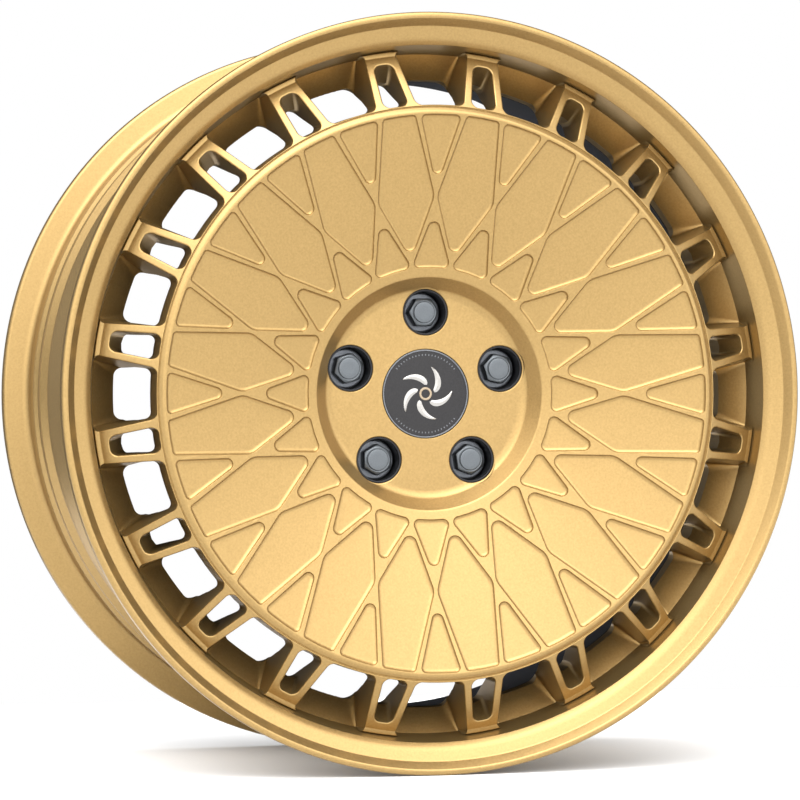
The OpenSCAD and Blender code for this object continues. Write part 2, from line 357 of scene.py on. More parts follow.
def rings(radii, depths):
    """Rings of (across, depth, up) points from radii and depths, given ring by ring."""
    radii, depths = np.broadcast_arrays(radii, depths)
    a = np.arange(radii.shape[1]) * TURN / radii.shape[1]
    return np.stack([radii * np.cos(a), depths, radii * np.sin(a)], axis=-1)


def rings_of(profile, steps=ROUND_STEPS):
    """Round rings from a profile of (radius, depth)."""
    profile = np.asarray(profile, float)
    return rings(np.repeat(profile[:, :1], steps, axis=1), profile[:, 1:])


def bolt_turn(k):
    """Angle of bolt k, the first at the top."""
    return math.radians(90 + k * 360 / BOLTS)


def at_bolt(k, points, twist=0.0):
    """Places points about bolt k's axis, turned about it by an angle in degrees."""
    c, s = math.cos(math.radians(twist)), math.sin(math.radians(twist))
    turn = np.array([[c, 0, s], [0, 1, 0], [-s, 0, c]])
    return place(BOLT_CIRCLE_R, 0, bolt_turn(k)) + points @ turn * MM


def at_valve(points):
    """Places points about the valve's axis, with their depth counted inwards from the tyre side."""
    c, s = math.cos(VALVE_ANGLE), math.sin(VALVE_ANGLE)
    side, inwards, back = np.moveaxis(points, -1, 0)
    r = VALVE_OUTER_FACE - inwards
    return np.stack([r * c - side * s, FRONT_Y + VALVE_DEPTH + back, r * s + side * c], -1) * MM


def hexagon(flats):
    """Radii of a hexagon with barely rounded corners at equal steps, the first at a corner."""
    off = np.arange(ROUND_STEPS) * TURN / ROUND_STEPS % (TURN / 6) - TURN / 12
    return np.minimum(flats / 2 / np.cos(off), flats / 2 * 1.135)


def threaded(radius, start, end, pitch, height):
    """Rings of a screw thread whose crests fade out at both ends."""
    depths = np.arange(start, end, pitch / 6)[:, None]
    wave = np.abs((depths / pitch - np.arange(ROUND_STEPS) / ROUND_STEPS) % 1 * 2 - 1)
    fade = np.clip((depths - start) / pitch, 0, 1) * np.clip((end - depths) / pitch, 0, 1)
    return rings(radius - height * (1 - wave * fade), depths)


def apply_modifier(obj):
    """Makes what an object's only modifier shows its mesh."""
    graph = bpy.context.evaluated_depsgraph_get()
    result = bpy.data.meshes.new_from_object(obj.evaluated_get(graph))
    obj.modifiers.clear()
    old = obj.data
    name = old.name
    obj.data = result
    bpy.data.meshes.remove(old)
    result.name = name


def carve(obj, cutter):
    """Cuts a closed mesh out of an object and removes the cutter."""
    step = obj.modifiers.new("carve", "BOOLEAN")
    step.object = cutter
    step.operation = "DIFFERENCE"
    step.solver = "MANIFOLD"
    apply_modifier(obj)
    bpy.data.objects.remove(cutter)


def weigh_normals(obj):
    """Lets the large faces set the shading, so that only the fillets between them curve."""
    step = obj.modifiers.new("normals", "WEIGHTED_NORMAL")
    step.keep_sharp = True
    step.weight = 50
    apply_modifier(obj)


# ---- Centre ----
def centre_profile():
    """Section of the centre: front from the hub out, then the ring, the back and the hub bore."""
    return rounded([
        (CAP_BORE_R, 60, 0), (CAP_BORE_R, CAP_SEAT, 0.3), (CAP_R + 0.4, CAP_SEAT, 0.2),
        (CAP_R + 0.4, RECESS_DEPTH, 0.35),
        (RECESS_R, RECESS_DEPTH, 8), (BEVEL_R, dish(BEVEL_R), 3),
        (DISC_R - 3.4, dish(DISC_R - 3.4), 3.0), (DISC_R + 0.05, -0.55, 0.25),
        (DISC_R + 0.75, spoke_face(DISC_R + 0.75), 0.5),
        (SPOKE_FACE_R, SPOKE_FACE_DEPTH, 2), (SPOKE_END_R - 0.1, 22.7, 0.8),
        (SPOKE_END_R, 24.8, 0), (RING_R, RING_FRONT, 0), (RING_R, RING_BACK, 0),
        (WINDOW_R, RING_BACK, 0.8), (SPOKE_IN_R + 1.8, 20.5, 2.5), (DISC_R - 6, 20.5, 1.5),
        (DISC_R - 12, 12.5, 3), (BEVEL_R + 20, 32, 20), (BEVEL_R + 9, 46, 14),
        (HUB_R + 0.5, HUB_BACK, 1.5), (HUB_BORE_R, HUB_BACK, 1.5), (HUB_BORE_R, 60, 0)])


def raised(loops):
    """The loops with one more 15 mm ahead of the first, so that a cutter starts in the open."""
    return [loops[0] - (0, 0, 15), *loops]


def in_sector(loops, middle):
    """Sector loops of (across, along, depth) placed about a middle line's angle."""
    placed = []
    for loop in loops:
        across, along, depth = loop.T
        placed.append(place(np.hypot(across, along), depth, middle - np.arctan2(across, along)))
    return placed


def pocket_cutter(outline, middle):
    """A shallow pocket: a barely broken edge, a wall that runs into the floor in one fillet."""
    edge, fillet = 0.28, 2.9
    lead = math.radians(25)
    profile = [(-edge + edge * math.sin(lead) - 0.6 * math.cos(lead),
                edge - edge * math.cos(lead) - 0.6 * math.sin(lead))]
    for a in np.radians([25, 55, 85]):
        profile.append((-edge + edge * math.sin(a), edge - edge * math.cos(a)))
    start = math.asin((fillet - POCKET_DEPTH + edge + 0.1) / fillet)
    for a in np.linspace(start, math.pi / 2, 9):
        profile.append((fillet * (math.cos(start) - math.cos(a)) + 0.01,
                        POCKET_DEPTH - fillet + fillet * math.sin(a)))
    loops = []
    for shrink, sink in profile:
        plan = rounded(inset(outline, shrink), 8)
        loops.append(np.c_[plan, dish(np.hypot(*plan.T)) + sink])
    bottom = loops[-1][:, :2]
    middle_point = bottom.mean(axis=0)
    for share in (0.8, 0.6, 0.4, 0.2, 0.02):
        plan = middle_point + (bottom - middle_point) * share
        loops.append(np.c_[plan, dish(np.hypot(*plan.T)) + POCKET_DEPTH])
    return lofted(in_sector(raised(loops), middle))


def outer_triangle():
    """Outline of the pockets at the edge of the disc, in line with the windows."""
    half = 4.45
    return [polar(half, POCKET_OUT_R, 3.2), *arc_of(POCKET_OUT_R, half, -half, 3),
            polar(-half, POCKET_OUT_R, 3.2), (0, OUTER_TIP_R, 4.2)]


def inner_triangle():
    """Outline of the pockets round the bolt recess, in line with the windows."""
    half = 9.6
    return [polar(half, INNER_FOOT_R, 4.0), (0, INNER_TIP_R, 4.4), polar(-half, INNER_FOOT_R, 4.0),
            *arc_of(INNER_FOOT_R, -half, half, 3)]


def long_pocket():
    """Outline of the long five-sided pockets, in line with the spokes."""
    half = 3.55
    return [polar(half, POCKET_OUT_R, 2.9), *arc_of(POCKET_OUT_R, half, -half, 1),
            polar(-half, POCKET_OUT_R, 2.9), (-LONG_HALF_WIDTH, LONG_SHOULDER_R, 12.0),
            (0, LONG_TIP_R, 5.2), (LONG_HALF_WIDTH, LONG_SHOULDER_R, 12.0)]


def window_cutter(middle, fronts, backs):
    """A window with rounded front edges whose walls run to narrower outlines further back."""
    lead = math.radians(15)
    base = rounded(fronts, 10)
    edge = leg_edge(np.hypot(*base.T))[:, None]
    widest, narrowest = 1.5, 0.5
    loops = []
    for step, a in [(0.8, lead), *[(0, math.radians(d)) for d in (15, 32, 50, 70, 90)]]:
        grown = []
        for e in (widest, narrowest):
            out = e * (1 - math.sin(a)) + step * math.cos(a)
            grown.append(rounded(inset(fronts, -out), 10))
        share = (edge - narrowest) / (widest - narrowest)
        plan = grown[1] + (grown[0] - grown[1]) * share
        sink = edge[:, 0] * (1 - math.cos(a)) - step * math.sin(a)
        loops.append(np.c_[plan, spoke_face(np.hypot(*plan.T)) + sink])
    for outline, depth in backs:
        plan = rounded(outline, 10)
        loops.append(np.c_[plan, np.full(len(plan), depth)])
    return lofted(in_sector(raised(loops), middle))


def leg_edge(r):
    """Radius of the rounding on the edges of the spokes, smaller at their roots and feet."""
    grow = np.clip((r - SPOKE_IN_R - 0.5) / 6, 0, 1)
    fall = np.clip((r - SPOKE_FACE_R + 1.5) / 3, 0, 1)
    return 0.55 + 0.85 * grow * grow * (3 - 2 * grow) - 0.6 * fall


def big_window(middle):
    """The window between two spokes, wider in front of the ring's slope than behind it."""
    def outline(half_in, half_out, r_out, out_radius):
        return [polar(half_out, r_out, out_radius), *arc_of(r_out, half_out, -half_out, 5),
                polar(-half_out, r_out, out_radius), polar(-half_in, SPOKE_IN_R, 5.0),
                *arc_of(SPOKE_IN_R, -half_in, half_in, 3), polar(half_in, SPOKE_IN_R, 5.0)]
    front = outline(4.83, 6.36, SPOKE_END_R + 0.4, 3.0)
    slope_top = outline(4.75, 5.6, RING_R + 0.3, 1.6)
    rear = outline(4.75, 4.75, WINDOW_R, 5.8)
    return window_cutter(middle, front, [(slope_top, RING_FRONT), (rear, WINDOW_LIP),
                                         (rear, RING_BACK + 20)])


def small_window(middle):
    """The window in a spoke, shorter behind than in front."""
    in_r = SPOKE_IN_R + 0.1
    front_r, back_r = SMALL_WINDOW_R, SMALL_WINDOW_BACK_R
    front = [(6.45, front_r - 0.1, 4.6), (0, front_r, 0), (-6.45, front_r - 0.1, 4.6),
             (-8.75, in_r - 0.3, 4.5), (0, in_r, 0), (8.75, in_r - 0.3, 4.5)]
    rear = [(6.6, back_r - 1.2, 4.0), (0, back_r, 0), (-6.6, back_r - 1.2, 4.0),
            (-8.2, in_r - 0.3, 4.0), (0, in_r, 0), (8.2, in_r - 0.3, 4.0)]
    return window_cutter(middle, front, [(rear, RING_FRONT), (rear, RING_BACK + 20)])


def well_cutter(k):
    """The hole of bolt k: a well for its sleeve, with a rounded mouth, and a narrower hole behind."""
    edge = 0.8
    mouth = WELL_R + 0.9
    lip = [(WELL_R + edge * (1 - math.sin(a)), RECESS_DEPTH + edge * (1 - math.cos(a)))
           for a in np.radians([20, 45, 70, 90])]
    return lofted(at_bolt(k, rings_of([
        (mouth, 15), (mouth, RECESS_DEPTH - 0.2), *lip, (WELL_R, SLEEVE_BACK),
        (BOLT_R + BOLT_PLAY, SLEEVE_BACK), (BOLT_R + BOLT_PLAY, HUB_BACK + 10)])))


def hollow_cutter(turn):
    """A blind hollow in the back of the hub, which saves weight between two bolts."""
    outline = [(13.5, 46, 5), (17.5, 62, 6), (14.5, 76, 6), (-14.5, 76, 6), (-17.5, 62, 6),
               (-13.5, 46, 5)]
    plan = rounded(outline, 8)
    bottom = rounded(inset(outline, 2), 8)
    loops = [np.c_[plan, np.full(len(plan), HUB_BACK + 5)],
             np.c_[plan, np.full(len(plan), HUB_BACK - 10.5)],
             np.c_[bottom, np.full(len(plan), HUB_BACK - 12)]]
    return lofted(in_sector(loops, turn))


def centre():
    """The forged centre: one turning with windows, pockets, bolt wells and hollows cut out."""
    obj = new_object("forged_centre", *turned(centre_profile()), GOLD)
    spoke_lines = [PITCH / 2 + i * PITCH for i in range(SPOKES)]
    window_lines = [i * PITCH for i in range(SPOKES)]
    cuts = [
        [big_window(a) for a in window_lines],
        [small_window(a) for a in spoke_lines],
        [pocket_cutter(long_pocket(), a) for a in spoke_lines],
        [pocket_cutter(outer_triangle(), a) for a in window_lines]
        + [pocket_cutter(inner_triangle(), a) for a in window_lines],
        [well_cutter(k) for k in range(BOLTS)]
        + [hollow_cutter(bolt_turn(k + 0.5)) for k in range(BOLTS)],
    ]
    for parts in cuts:
        carve(obj, new_object("cutter", *joined(parts)))
    soften(obj, 32)
    weigh_normals(obj)
    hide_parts("centre")
    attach(obj, "root")


# ---- Barrel ----
def flange_side():
    """Tyre side of one flange, its bead seat and the safety hump, from the front."""
    return [(FLANGE_R - 4.0, 0, 1.8), (FLANGE_R, 0, 2.6), (FLANGE_R, 10.1, 3.3),
            (SEAT_R - 0.05, 14.2, 6.3), (SEAT_R - 1.8, 33, 4), (SEAT_R - 1.2, 34.6, 1.5),
            (SEAT_R + 0.5, 37.4, 1.5), (SEAT_R + 0.5, 39.8, 1.5), (SEAT_R - 2.3, 43.5, 3)]


def barrel_profile():
    """Section of the barrel: inside of the front lip, tyre side from the front, then the inside."""
    rear_side = [(r, WIDTH - d, radius) for r, d, radius in reversed(flange_side())]
    return rounded([
        (RING_R + 0.03, RING_BACK, 0), (RING_R + 0.03, RING_FRONT, 0.4),
        (SEAT_R - 4.05, 13.0, 0.8), (SEAT_R, 9.4, 12), (SEAT_R + 8.2, 6.3, 2.5),
        *flange_side(),
        (SEAT_R - 2.3, 62, 5), (SEAT_R - 17, 80, 10), (SEAT_R - 15.6, 148, 10),
        (SEAT_R - 5.8, 185, 4), (SEAT_R - 5.2, 189, 3), (SEAT_R - 0.9, 195.5, 1),
        (SEAT_R - 0.9, 199, 1), (SEAT_R - 2.3, 203, 3),
        *rear_side,
        (SEAT_R + 8.2, WIDTH - 6.3, 2.5),
        (SEAT_R - 3.2, WIDTH - 12.2, 3), (SEAT_R - 6.8, WIDTH - 36, 5), (SEAT_R - 6.8, 204, 5),
        (SEAT_R - 9.4, 188, 6), (SEAT_R - 19.4, 152, 12), (SEAT_R - 20.4, 140, 12),
        (SEAT_R - 21.6, 93, 20), (BORE_R, RING_BACK, 0)])


def barrel():
    """The barrel with its valve hole, gold outside and graphite inside."""
    obj = new_object("barrel_forging", *turned(barrel_profile()), GOLD)
    wall, clear_r = 4, 9.5
    hole = rings_of([(clear_r, -8), (clear_r, 0), (VALVE_HOLE_R, 0), (VALVE_HOLE_R, wall),
                     (clear_r, wall), (clear_r, 12)])
    carve(obj, new_object("cutter", *lofted(at_valve(hole))))
    obj.data.materials.append(GRAPHITE)
    graphite = len(obj.data.materials) - 1
    soften(obj, 32)
    weigh_normals(obj)
    inside_front, inside_back = RING_BACK + 0.5, WIDTH - 14
    for face in obj.data.polygons:
        away = Vector((face.center.x, 0, face.center.z)).normalized()
        depth = face.center.y / MM - FRONT_Y
        if inside_front < depth < inside_back and face.normal.dot(away) < -0.2:
            face.material_index = graphite
    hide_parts("barrel")
    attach(obj, "root")


# ---- Pieces of the wheel other than its two forgings ----
def piece(name, shape, stuff, slot, body, *nodes, sharp=30):
    """A piece made of vertices and faces, with its finish, its body and the nodes it stands for."""
    obj = new_object(name, *shape, stuff, sharp)
    if nodes:
        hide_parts(*nodes)
    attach(obj, body)
    return obj


def lug_bolt(k):
    """A bolt with a hexagon head, a raised round face, a plain shank and a thread."""
    hex_r = hexagon(HEX_FLATS)
    chamfer = HEAD_FRONT + 1.0 + 0.5 * (hex_r - FACE_R - 0.8)
    face_edge = [(FACE_R - 0.8 + 0.8 * math.sin(a), HEAD_FRONT + 0.8 - 0.8 * math.cos(a))
                 for a in np.radians([0, 25, 50, 75, 90])]
    parts = [
        rings_of([(0.02, HEAD_FRONT), (4, HEAD_FRONT), *face_edge,
                  (FACE_R + 0.05, HEAD_FRONT + 1.15), (FACE_R + 0.55, HEAD_FRONT + 1.15),
                  (FACE_R + 0.8, HEAD_FRONT + 1.0)]),
        rings(np.array([hex_r - 0.5, hex_r - 0.15, hex_r, hex_r, hex_r - 0.3]),
              np.array([chamfer - 0.25, chamfer + 0.05, chamfer + 0.5,
                        np.full(ROUND_STEPS, HEAD_BACK - 0.3), np.full(ROUND_STEPS, HEAD_BACK)])),
        rings_of([(SHANK_R + 0.6, HEAD_BACK), (SHANK_R, HEAD_BACK + 0.6),
                  (SHANK_R, THREAD_FRONT - 0.6), (BOLT_R - THREAD_HEIGHT, THREAD_FRONT - 0.1)]),
        threaded(BOLT_R, THREAD_FRONT, BOLT_END - 1.6, THREAD_PITCH, THREAD_HEIGHT),
        rings_of([(BOLT_R - THREAD_HEIGHT, BOLT_END - 1.5), (BOLT_R - 2.2, BOLT_END - 0.1),
                  (BOLT_R - 2.6, BOLT_END), (0.02, BOLT_END)])]
    shape = lofted(at_bolt(k, np.concatenate(parts), HEAD_TURNS[k]))
    piece(f"lug_bolt_{k + 1}_forged", shape, BOLT_STEEL, "bolt_steel", f"bolt_{k + 1}",
          f"lug_bolt_{k + 1}", sharp=35)


def spun(put, profile):
    """A closed profile turned about an axis, where put places its rings."""
    return ringed(np.swapaxes(put(rings_of(profile)), 0, 1))


def lug_collar(k):
    """The loose ring with a conical seat that rides behind a bolt's head."""
    front = HEAD_BACK + HEAD_GAP
    profile = rounded([
        (COLLAR_BORE_R, front, 0.3), (COLLAR_R, front, 0.9), (COLLAR_R, CONE_TOP, 0.4),
        (COLLAR_R - 0.8, CONE_TOP, 0), (CONE_FOOT_R, CONE_BACK, 0.4),
        (COLLAR_BORE_R, CONE_BACK, 0.2)])
    piece(f"lug_collar_{k + 1}_turned", spun(lambda r: at_bolt(k, r), profile), COLLAR_STEEL_PAINTED_HIGHLIGHT,
          "bolt_steel", f"collar_{k + 1}", f"lug_collar_{k + 1}")


def lug_sleeve(k):
    """The insert in a bolt well, with the cone that the collar sits on."""
    inner_r, outer_r = WELL_R - 1.5, WELL_R - 0.02
    foot = CONE_BACK + SEAT_GAP
    profile = rounded([
        (inner_r, RECESS_DEPTH + 0.8, 0.5), (outer_r, RECESS_DEPTH + 0.8, 0.5),
        (outer_r, SLEEVE_BACK, 0), (CONE_FOOT_R - 0.4, SLEEVE_BACK, 0),
        (CONE_FOOT_R - 0.4, foot, 0), (CONE_FOOT_R + SEAT_GAP, foot, 0),
        (COLLAR_R - 0.8 + SEAT_GAP, CONE_TOP + SEAT_GAP, 0), (inner_r, CONE_TOP + SEAT_GAP, 0.4)])
    piece(f"lug_sleeve_{k + 1}_turned", spun(lambda r: at_bolt(k, r), profile), BLACK_STEEL,
          "black_steel", "root", f"lug_sleeve_{k + 1}")


def on_axis(points):
    """Places points about the wheel's own axis."""
    return place(0, 0, 0) + points * MM


def cap_body():
    """The cap's moulded shell, whose tube is slit into fingers that snap into the hub."""
    inner_r = CAP_TUBE_R - CAP_TUBE_WALL
    profile = rounded([
        (0.02, CAP_FLOOR, 0), (CAP_R, CAP_FLOOR, 0), (CAP_R, CAP_SEAT - 0.02, 0.3),
        (CAP_TUBE_R, CAP_SEAT - 0.02, 0), (CAP_TUBE_R, CAP_TUBE_END - 3, 0.5),
        (CAP_TUBE_R + 0.6, CAP_TUBE_END - 2, 0.4), (CAP_TUBE_R - 0.6, CAP_TUBE_END, 0.3),
        (inner_r, CAP_TUBE_END, 0.3), (inner_r, CAP_SEAT + 1, 0.6), (0.02, CAP_SEAT + 1, 0)])
    obj = piece("cap_shell", lofted(on_axis(rings_of(profile, CAP_STEPS))), CAP_BLACK, "cap_black",
                "cap", "cap_body")
    slit = [(2.5, 20, 0), (2.5, CAP_R, 0), (-2.5, CAP_R, 0), (-2.5, 20, 0)]
    plan = rounded(slit)
    ends = [np.c_[plan, np.full(len(plan), d)] for d in (CAP_TUBE_END - 9, CAP_TUBE_END + 2)]
    carve(obj, new_object("cutter", *joined(
        [lofted(in_sector(ends, k * TURN / 6)) for k in range(6)])))
    soften(obj)


def cap_front():
    """The cap's face in its trim ring, with small marks near its edge."""
    profile = rounded([(BADGE_R, CAP_FLOOR, 0), (BADGE_R, CAP_FACE - 0.2, 0.25),
                       (CAP_R - 0.05, CAP_FACE - 0.2, 0.35), (CAP_R - 0.05, CAP_FLOOR, 0)])
    piece("cap_ring", spun(on_axis, profile), CAP_TRIM, "cap_trim", "cap", "cap_trim_ring")
    profile = rounded([(0.02, CAP_FACE, 0), (BADGE_R - 0.3, CAP_FACE, 0.15),
                       (BADGE_R - 0.05, CAP_FACE + 0.3, 0.1), (BADGE_R - 0.05, CAP_FLOOR, 0),
                       (0.02, CAP_FLOOR, 0)])
    piece("cap_face", lofted(on_axis(rings_of(profile, CAP_STEPS))), CAP_BLACK, "cap_black", "cap",
          "cap_badge")
    wide, tall = 0.32, 0.55
    mark = rounded([(wide, MARKS_R - tall, 0.15), (wide, MARKS_R + tall, 0.15),
                    (-wide, MARKS_R + tall, 0.15), (-wide, MARKS_R - tall, 0.15)])
    ends = [np.c_[mark, np.full(len(mark), CAP_FACE + d)] for d in (0.05, -0.12)]
    turns = [side + step for side in (90, 270) for step in range(-50, 51, 5)]
    piece("cap_marks", joined([lofted(in_sector(ends, math.radians(t))) for t in turns]),
          CAP_TRIM, "cap_trim", "cap")


def blade(start):
    """One curved blade of the cap's rosette, folded along a ridge."""
    loops = []
    for t in np.linspace(0, 1, 19):
        r = BLADE_FOOT_R + BLADE_LENGTH * t
        middle = start + BLADE_SWEEP * t ** 1.2
        half = (0.12 + BLADE_HALF_WIDTH * math.sin(math.pi * (0.06 + 0.9 * t)) ** 0.75) / r
        across = np.array([-1, -1, 0.15, 1, 1]) * half
        up = np.array([0.05, -0.12, -0.55, -0.12, 0.05])
        loops.append(place(r, CAP_FACE + up, middle + across))
    return lofted(loops)


def cap_rosette():
    """Five curved blades round a small ring, on the cap's face."""
    piece("cap_rosette", joined([blade(bolt_turn(k)) for k in range(BOLTS)]), EMBLEM,
          "cap_trim", "cap", sharp=12)
    profile = rounded([(3.0, CAP_FACE + 0.05, 0), (3.0, CAP_FACE - 0.35, 0.15),
                       (4.5, CAP_FACE - 0.35, 0.3), (4.5, CAP_FACE + 0.05, 0)])
    piece("cap_rosette_ring", spun(on_axis, profile), CHAMPAGNE, "gold_paint", "cap")


def weld_bead():
    """Overlapping ripples in the corner between the back of the ring and the barrel."""
    ripples, steps, leg = 300, 8, 3.9
    a = np.radians(np.linspace(0, 90, 7))
    loops = []
    for i in range(ripples * steps):
        swell = 0.55 + 0.45 * (1 - i % steps / steps) ** 0.7
        bulge = 0.9 * swell * np.sin(2 * a)
        r = BORE_R + 0.1 - (BORE_R - WINDOW_R - 0.2) * np.cos(a) - bulge * 0.8
        depth = RING_BACK + leg * np.sin(a) + bulge * 0.3
        r, depth = np.append(r, BORE_R + 0.15), np.append(depth, RING_BACK - 0.05)
        loops.append(place(r, depth, i * TURN / (ripples * steps)))
    piece("weld_ripples", ringed(loops), WELD, "weld", "root", "weld_bead", sharp=60)


# ---- Valve ----
def valve_stem():
    """The stem from its bore, round the flange on the tyre side, to its tip and the core's seat."""
    parts = [
        rings_of([(1.3, CORE_FOOT), (1.3, -4.6), (6.8, -4.6), (7.4, -4.3), (7.6, -3.8),
                  (7.6, -2.2), (STEM_R, -2.2), (STEM_R, NUT_FRONT),
                  (STEM_R - 0.4, NUT_BACK - 0.9)]),
        threaded(STEM_R, NUT_BACK - 0.8, VALVE_CAP_FOOT - 0.6, 0.8, 0.4),
        rings_of([(STEM_R - 0.4, VALVE_CAP_FOOT - 0.4), (3.7, STEM_TIP - 0.4),
                  (3.3, STEM_TIP), (2.5, STEM_TIP), (2.5, CORE_FOOT)])]
    piece("valve_stem_turned", ringed(np.swapaxes(at_valve(np.concatenate(parts)), 0, 1)),
          BRIGHT, "bright_steel", "root", "valve_stem", sharp=35)


def valve_nut():
    """The hexagon nut that clamps the valve to the barrel."""
    hex_r = hexagon(14.0)
    chamfer = 0.3 + 0.5 * (hex_r - 7.0)
    parts = [
        rings_of([(STEM_R, NUT_FRONT + 0.3), (STEM_R + 0.3, NUT_FRONT), (6.7, NUT_FRONT)]),
        rings(np.array([hex_r, hex_r]), np.array([NUT_FRONT + chamfer, NUT_BACK - chamfer])),
        rings_of([(6.7, NUT_BACK), (STEM_R + 0.3, NUT_BACK), (STEM_R, NUT_BACK - 0.3)])]
    piece("valve_nut_milled", ringed(np.swapaxes(at_valve(np.concatenate(parts)), 0, 1)),
          BRIGHT, "bright_steel", "root", "valve_nut")


def valve_cap():
    """A small cap whose sides are knurled."""
    knurl = 5.2 - 0.3 * np.abs(np.sin(np.arange(ROUND_STEPS) * TURN / ROUND_STEPS * 12))
    foot, end = VALVE_CAP_FOOT, VALVE_CAP_END
    parts = [
        rings_of([(0.02, STEM_TIP + 0.9), (3.93, STEM_TIP + 0.9), (3.93, foot), (4.8, foot)]),
        rings(np.array([knurl, knurl]), np.array([[foot + 0.4], [end - 1.4]])),
        rings_of([(4.8, end - 0.9), (4.6, end - 0.35), (4.1, end), (0.02, end)])]
    piece("valve_cap_knurled", lofted(at_valve(np.concatenate(parts))), CAP_TRIM,
          "cap_trim", "valve_cap", "valve_cap", sharp=35)


def valve_spring():
    """A fine coil between the foot of the core and the disc of the pin."""
    wire_r, coil_r, coils, foot, length = 0.28, 1.65, 5, CORE_FOOT + 0.7, 3.9
    loops = []
    for t in np.linspace(0, 1, coils * 20 + 1):
        a = coils * TURN * t
        ring = np.arange(8) * TURN / 8
        r = coil_r + wire_r * np.cos(ring)
        loops.append(np.stack([r * math.cos(a), foot + length * t + wire_r * np.sin(ring),
                               r * math.sin(a)], axis=-1))
    obj = piece("valve_coil", lofted(at_valve(np.array(loops))), BRIGHT, "bright_steel", "root",
                "valve_spring")
    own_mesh(obj)


# ---- Materials ----
NOISE_LOW, NOISE_HIGH = 0.3, 0.7


def material(name, build):
    """A material whose nodes are made by build(tree, shader)."""
    made = bpy.data.materials.new(name)
    made.use_nodes = True
    tree = made.node_tree
    build(tree, tree.nodes["Principled BSDF"])
    return made


def add(tree, kind, **values):
    """A new node with values set on its sockets."""
    node = tree.nodes.new(kind)
    for socket, value in values.items():
        node.inputs[socket].default_value = value
    return node


def grain(tree, scale, detail=3):
    """Noise in the object's own space."""
    where = add(tree, "ShaderNodeTexCoord")
    noise = add(tree, "ShaderNodeTexNoise", Scale=scale, Detail=detail, Roughness=0.6)
    tree.links.new(where.outputs["Object"], noise.inputs["Vector"])
    return noise.outputs["Fac"]


def between(tree, factor, least, most):
    """A value that follows a noise between two limits."""
    span = add(tree, "ShaderNodeMapRange")
    span.inputs["From Min"].default_value = NOISE_LOW
    span.inputs["From Max"].default_value = NOISE_HIGH
    span.inputs["To Min"].default_value = least
    span.inputs["To Max"].default_value = most
    tree.links.new(factor, span.inputs["Value"])
    return span.outputs["Result"]


def tinted(tree, factor, dark, light):
    """A colour that follows a noise between two shades."""
    ramp = add(tree, "ShaderNodeValToRGB")
    stops = ((NOISE_LOW, dark), (NOISE_HIGH, light))
    for element, (position, shade) in zip(ramp.color_ramp.elements, stops):
        element.position = position
        element.color = (*shade, 1)
    tree.links.new(factor, ramp.inputs["Fac"])
    return ramp.outputs["Color"]


def bumped(tree, shader, height, distance):
    """Lets a noise raise the surface by up to a distance in metres."""
    bump = add(tree, "ShaderNodeBump", Strength=1.0, Distance=distance)
    tree.links.new(height, bump.inputs["Height"])
    tree.links.new(bump.outputs["Normal"], shader.inputs["Normal"])


def paint(dark, light, metallic, rough, grain_scale=1500, height=0.00004, coat=0.0, gleam=0.5):
    """Metal or paint whose shade and gloss follow a fine grain."""
    def build(tree, shader):
        noise = grain(tree, grain_scale)
        tree.links.new(tinted(tree, noise, dark, light), shader.inputs["Base Color"])
        tree.links.new(between(tree, noise, rough - 0.04, rough + 0.04),
                       shader.inputs["Roughness"])
        shader.inputs["Metallic"].default_value = metallic
        shader.inputs["Coat Weight"].default_value = coat
        shader.inputs["Coat Roughness"].default_value = 0.35
        shader.inputs["Specular IOR Level"].default_value = gleam
        bumped(tree, shader, noise, height)
    return build


GOLD = material("satin_gold_paint", paint(
    (0.258, 0.167, 0.058), (0.315, 0.205, 0.075), 0.85, 0.35, 650, 0.000015, coat=0.2))
GRAPHITE = material("graphite_inside", paint(
    (0.085, 0.09, 0.105), (0.115, 0.12, 0.135), 0.0, 0.8, gleam=0.0))
WELD = material("weld_bead", paint(
    (0.03, 0.028, 0.026), (0.06, 0.054, 0.048), 0.3, 0.6, 900, gleam=0.1))
BLACK_STEEL = material("black_oxide", paint(
    (0.006, 0.006, 0.007), (0.014, 0.014, 0.016), 0.6, 0.4))
BOLT_STEEL = material("zinc_flake", paint(
    (0.082, 0.091, 0.099), (0.117, 0.126, 0.134), 0.9, 0.35))
# The collars' steel is the bolts' steel made lighter and bluer, a painted highlight for the light
# they reflect in their wells.
COLLAR_STEEL_PAINTED_HIGHLIGHT = material("collar_steel_painted_highlight", paint(
    (0.13, 0.14, 0.155), (0.19, 0.20, 0.22), 0.8, 0.4))
CAP_BLACK = material("anthracite_cap", paint(
    (0.016, 0.0155, 0.016), (0.024, 0.023, 0.024), 0.2, 0.42, gleam=0.2))
CAP_TRIM = material("satin_trim", paint(
    (0.10, 0.104, 0.11), (0.15, 0.155, 0.165), 0.9, 0.3))
EMBLEM = material("emblem_silver", paint(
    (0.30, 0.29, 0.275), (0.38, 0.368, 0.35), 0.9, 0.3))
CHAMPAGNE = material("emblem_champagne", paint(
    (0.26, 0.205, 0.14), (0.33, 0.265, 0.19), 0.9, 0.3))
RUBBER = material("black_rubber", paint(
    (0.012, 0.012, 0.012), (0.022, 0.022, 0.022), 0.0, 0.75))
BRIGHT = material("plated_steel", paint(
    (0.55, 0.55, 0.56), (0.66, 0.66, 0.68), 1.0, 0.25))
BRASS = material("brass", paint(
    (0.55, 0.38, 0.13), (0.68, 0.48, 0.18), 1.0, 0.3))

SLOT_MATERIALS = {
    "gold_paint": GOLD, "weld": WELD, "black_steel": BLACK_STEEL, "bolt_steel": BOLT_STEEL,
    "cap_black": CAP_BLACK, "cap_trim": CAP_TRIM, "rubber": RUBBER, "bright_steel": BRIGHT,
    "brass": BRASS}


def dress_nodes():
    """Gives every carried-over node the material of its slot."""
    slots = {part["node"]: part["material_slot"] for part in frame["record"]["subparts"]}
    for name, obj in frame["nodes"].items():
        obj.data.materials.clear()
        obj.data.materials.append(SLOT_MATERIALS[slots[name]])


